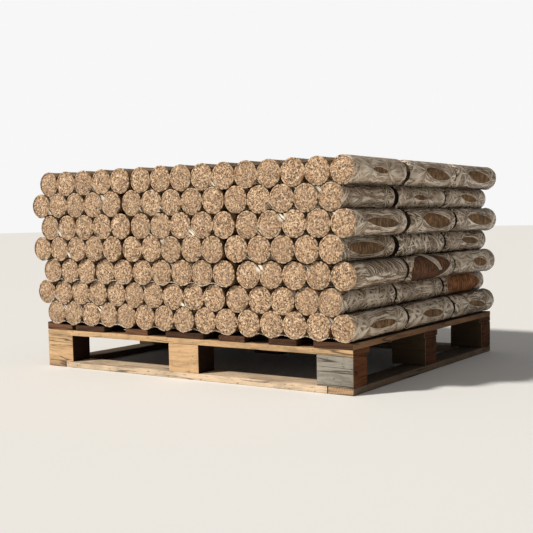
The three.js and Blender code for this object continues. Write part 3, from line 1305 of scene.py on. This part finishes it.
def timber_materials(kind, along):
    """The face and the end grain of one kind of wood, with its grain along X or Y.

    Each kind has its colour, its colour at the ends, and how much dirt and how many cracks it has.
    """
    look = settings().timber
    base, end, dirt, cracks = {
        "pine": (look.pine, look.block_end, 0.38, 0.2),
        "knotty": (look.pine, look.block_end, 0.62, 0.7),
        "pale": (look.pale, look.block_end, 0.45, 0.5),
        "weathered": (look.weathered, look.block_end, 0.6, 1.0),
        "side": (look.side, look.side_end, 0.5, 0.5),
        "deck": (look.deck, look.deck_end, 0.5, 0.3),
        # Deck ends painted darker still, as painted shade.
        "stained": (look.deck, shade(look.deck_end, 0.55), 0.5, 0.3),
    }[kind]
    axis = "xy"[along]
    name = f"{kind}_{axis}"
    face = material(name, wood_material, name, tuple(base), along, 1.3, dirt, cracks)
    name = f"{kind}_end_{axis}"
    return face, material(name, end_grain_material, name, tuple(end), along, 2.1)


def model_timber(node, along, kind, number):
    """A sawn board or block that fills its node's box, with worn edges and uneven faces."""
    look = settings().timber
    low, high, middle, size = box_of(node)
    cupped = node == "deck_board_1"
    thick = box_of("deck_board_2")[3].z if cupped else size.z
    deselect_all()
    base = middle.z - size.z / 2
    bpy.ops.mesh.primitive_cube_add(size=1, location=(middle.x, middle.y, base + thick / 2))
    piece = bpy.context.active_object
    piece.scale = (size.x, size.y, thick)
    bpy.ops.object.transform_apply(location=True, scale=True)
    bpy.ops.object.mode_set(mode="EDIT")
    bpy.ops.mesh.select_all(action="SELECT")
    bpy.ops.mesh.bevel(offset=look.ease, segments=2, affect="EDGES")
    object_mode()
    for axis, step in ((along, look.cell * 1.8), (1 - along, look.cell), (2, look.cell)):
        length = (size.x, size.y, thick)[axis]
        cuts = max(1, round(length / step) - 1)
        edit_edges(piece, lambda a, b: abs(a[axis] - b[axis]) > length * 0.5)
        bpy.ops.mesh.subdivide(number_cuts=cuts)
        object_mode()
    add_noise(piece, "CLOUDS", 0.035, look.sawing * 0.7)
    add_noise(piece, "CLOUDS", 0.009, look.sawing * 0.45)
    points = points_of(piece.data)
    if cupped:
        share = fall(points[:, 0] - low.x, 0.034)
        over = rise(points[:, 2], base, thick)
        points[:, 2] += (size.z - thick) * 0.85 * share**1.4 * over
    points = np.clip(points, np.array(low), np.array(high))
    set_points(piece.data, points)
    for face in piece.data.polygons:
        face.material_index = 1 if abs(face.normal[along]) > 0.8 else 0
    for skin in timber_materials(kind, along):
        piece.data.materials.append(skin)
    set_attribute(piece.data, "seed", whim(number, 41))
    # Dirt and painted shade on the outer faces, deeper painted shade inside the outline.
    grime = GRIME_AND_SHADE.get(node, HIDDEN_SHADE)
    deepest_shade = INNER_SHADE.get(node, DEEPEST_SHADE)
    deep = np.min([points[:, :2] - PALLET_LOW, PALLET_HIGH - points[:, :2]], axis=(0, 2))
    set_attribute(piece.data, "grime", grime + (deepest_shade - grime) * rise(deep, 0.0014, 0.0008))
    piece.name = piece.data.name = f"timber_{node}"
    smooth(piece, 40)
    return piece


def dress_timber(names, along):
    for number, node in enumerate(names):
        kind, slot = next(wood[1:] for wood in WOODS if node.startswith(wood[0]))
        hold(model_timber(node, along, kind, number + len(node)), slot, node)


class PALLET_OT_deck(bpy.types.Operator):
    """Saw the deck boards that carry the load"""

    bl_idname = "pallet.deck"
    bl_label = "Deck boards"

    def execute(self, context):
        dress_timber([f"deck_board_{k}" for k in range(1, 8)], 1)
        return {"FINISHED"}


class PALLET_OT_stringers(bpy.types.Operator):
    """Saw the three boards that join the blocks under the deck"""

    bl_idname = "pallet.stringers"
    bl_label = "Stringer boards"

    def execute(self, context):
        dress_timber([f"stringer_{line}" for line in ("front", "middle", "rear")], 0)
        return {"FINISHED"}


class PALLET_OT_blocks(bpy.types.Operator):
    """Saw the nine blocks; the one at the front right is weathered"""

    bl_idname = "pallet.blocks"
    bl_label = "Blocks"

    def execute(self, context):
        lines = ("front", "centre", "rear")
        dress_timber([f"block_{line}_{place}" for line in lines for place in PLACES], 0)
        return {"FINISHED"}


class PALLET_OT_base(bpy.types.Operator):
    """Saw the four bottom boards that stand on the floor"""

    bl_idname = "pallet.base"
    bl_label = "Bottom boards"

    def execute(self, context):
        dress_timber(["bottom_board_left", "bottom_board_right"], 1)
        dress_timber(["bottom_board_front", "bottom_board_rear"], 0)
        return {"FINISHED"}


# How far the nails stand from a deck board's edges and from the middle of the stringer below.
NAIL_INSET = 0.022
NAIL_STEP = 0.012
# How far the nails of the base stand from the middle of their block, along X and Y.
BASE_NAIL = (0.014, 0.018)
# How far the nail heads under the base are sunk, so that they end at the floor.
NAIL_HEAD = 0.0009


def model_nail():
    """A round nail head with a worn rim, lying on z = 0."""
    deselect_all()
    bpy.ops.mesh.primitive_cylinder_add(vertices=12, radius=0.0042, depth=0.0012)
    nail = bpy.context.active_object
    edit_faces(nail, lambda face: face.normal.z > 0.9)
    bpy.ops.mesh.inset(thickness=0.001)
    bpy.ops.transform.translate(value=(0, 0, 0.0004))
    object_mode()
    nail.data.materials.append(material("nail_steel", steel_material))
    return nail


class PALLET_OT_nails(bpy.types.Operator):
    """Drive nails through the deck into the stringers and through the base into the blocks"""

    bl_idname = "pallet.nails"
    bl_label = "Nails"

    def execute(self, context):
        model = model_nail()
        nails = []
        for number in range(1, 8):
            _, _, middle, size = box_of(f"deck_board_{number}")
            top = box_of("deck_board_2")[1].z
            for line in ("front", "middle", "rear"):
                board = box_of(f"stringer_{line}")[2]
                for side in (-1, 1):
                    x = middle.x + side * (size.x / 2 - NAIL_INSET)
                    nails.append(self.drive(model, x, board.y - side * NAIL_STEP, top, 1))
        for line in ("front", "centre", "rear"):
            for place in PLACES:
                middle = box_of(f"block_{line}_{place}")[2]
                if line == "centre" and place == "middle":
                    continue
                for side in (-1, 1):
                    x, y = middle.x + side * BASE_NAIL[0], middle.y - side * BASE_NAIL[1]
                    nails.append(self.drive(model, x, y, NAIL_HEAD, -1))
        bpy.data.objects.remove(model)
        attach(join(nails, "nail_heads"), ROOT)
        return {"FINISHED"}

    def drive(self, model, x, y, z, up):
        nail = copy_of(model, "nail")
        turn = Matrix.Rotation(0.0 if up > 0 else math.pi, 4, "X")
        nail.data.transform(Matrix.Translation((x, y, z - up * 0.0002)) @ turn)
        return nail


# Stage


class PALLET_OT_stage(bpy.types.Operator):
    """Lay the pale floor and set the camera and the soft lights"""

    bl_idname = "pallet.stage"
    bl_label = "Stage"

    def execute(self, context):
        self.lay_floor()
        self.light_room(context)
        self.set_camera(context)
        context.scene.view_settings.view_transform = "Standard"
        return {"FINISHED"}

    def lay_floor(self):
        deselect_all()
        bpy.ops.mesh.primitive_plane_add(size=80, location=(0, 0, -0.0006))
        floor = bpy.context.active_object
        floor.name = "floor"
        paint = Paint("pale_floor")
        floor.data.materials.append(paint.finish((0.90, 0.895, 0.885), 0.95))

    def light_room(self, context):
        """A white room that gives little light of its own, and one soft key from the front left."""
        world = bpy.data.worlds.new("pale_room")
        context.scene.world = world
        world.use_nodes = True
        tree = world.node_tree
        room = tree.nodes["Background"]
        room.inputs["Color"].default_value = (1.0, 0.99, 0.965, 1.0)
        room.inputs["Strength"].default_value = 0.24
        backdrop = tree.nodes.new("ShaderNodeBackground")
        backdrop.inputs["Color"].default_value = (0.93, 0.93, 0.93, 1.0)
        seen = tree.nodes.new("ShaderNodeLightPath")
        choice = tree.nodes.new("ShaderNodeMixShader")
        tree.links.new(seen.outputs["Is Camera Ray"], choice.inputs[0])
        tree.links.new(room.outputs[0], choice.inputs[1])
        tree.links.new(backdrop.outputs[0], choice.inputs[2])
        tree.links.new(choice.outputs[0], tree.nodes["World Output"].inputs["Surface"])
        deselect_all()
        bpy.ops.object.light_add(type="SUN", location=(-3.0, -4.5, 4.5))
        key = bpy.context.active_object
        key.name = "key"
        adjust(key.data, energy=3.4, angle=math.radians(6), color=(1.0, 0.955, 0.88))
        toward = Vector((0.43, 0.635, -0.643))
        key.rotation_euler = toward.to_track_quat("-Z", "Y").to_euler()

    def set_camera(self, context):
        look = settings().stage
        deselect_all()
        bpy.ops.object.camera_add(location=look.place)
        camera = bpy.context.active_object
        camera.name = "camera"
        heading, tilt, roll = look.turn
        turn = (
            Matrix.Rotation(heading, 3, "Z")
            @ Matrix.Rotation(math.pi / 2 + tilt, 3, "X")
            @ Matrix.Rotation(roll, 3, "Z")
        )
        camera.rotation_euler = turn.to_euler()
        adjust(camera.data, sensor_width=36.0, lens=look.lens, shift_y=look.shift, clip_end=200.0)
        context.scene.camera = camera


class PALLET_PT_panel(bpy.types.Panel):
    """The steps that build the pallet, in their order"""

    bl_idname = "PALLET_PT_panel"
    bl_label = "Briquette pallet"
    bl_space_type = "VIEW_3D"
    bl_region_type = "UI"
    bl_category = "Briquettes"

    def draw(self, context):
        for step in STEPS:
            self.layout.operator(step.bl_idname)
        for group in ("briquettes", "film", "timber", "stage"):
            box = self.layout.box()
            look = getattr(context.scene.briquette_pallet, group)
            for key in look.bl_rna.properties.keys():
                if key not in {"rna_type", "name"}:
                    box.prop(look, key)


STEPS = (
    PALLET_OT_deck,
    PALLET_OT_stringers,
    PALLET_OT_blocks,
    PALLET_OT_base,
    PALLET_OT_nails,
    PALLET_OT_briquettes,
    PALLET_OT_film,
    PALLET_OT_stage,
)
GROUPS = (BriquetteSettings, FilmSettings, TimberSettings, StageSettings, PalletSettings)
CLASSES = (*GROUPS, *STEPS, PALLET_PT_panel)


def register():
    for kind in CLASSES:
        bpy.utils.register_class(kind)
    bpy.types.Scene.briquette_pallet = PointerProperty(type=PalletSettings)


def unregister():
    del bpy.types.Scene.briquette_pallet
    for kind in reversed(CLASSES):
        bpy.utils.unregister_class(kind)


def main():
    register()
    for step in STEPS:
        area, name = step.bl_idname.split(".")
        getattr(getattr(bpy.ops, area), name)()


if __name__ == "__main__":
    main()
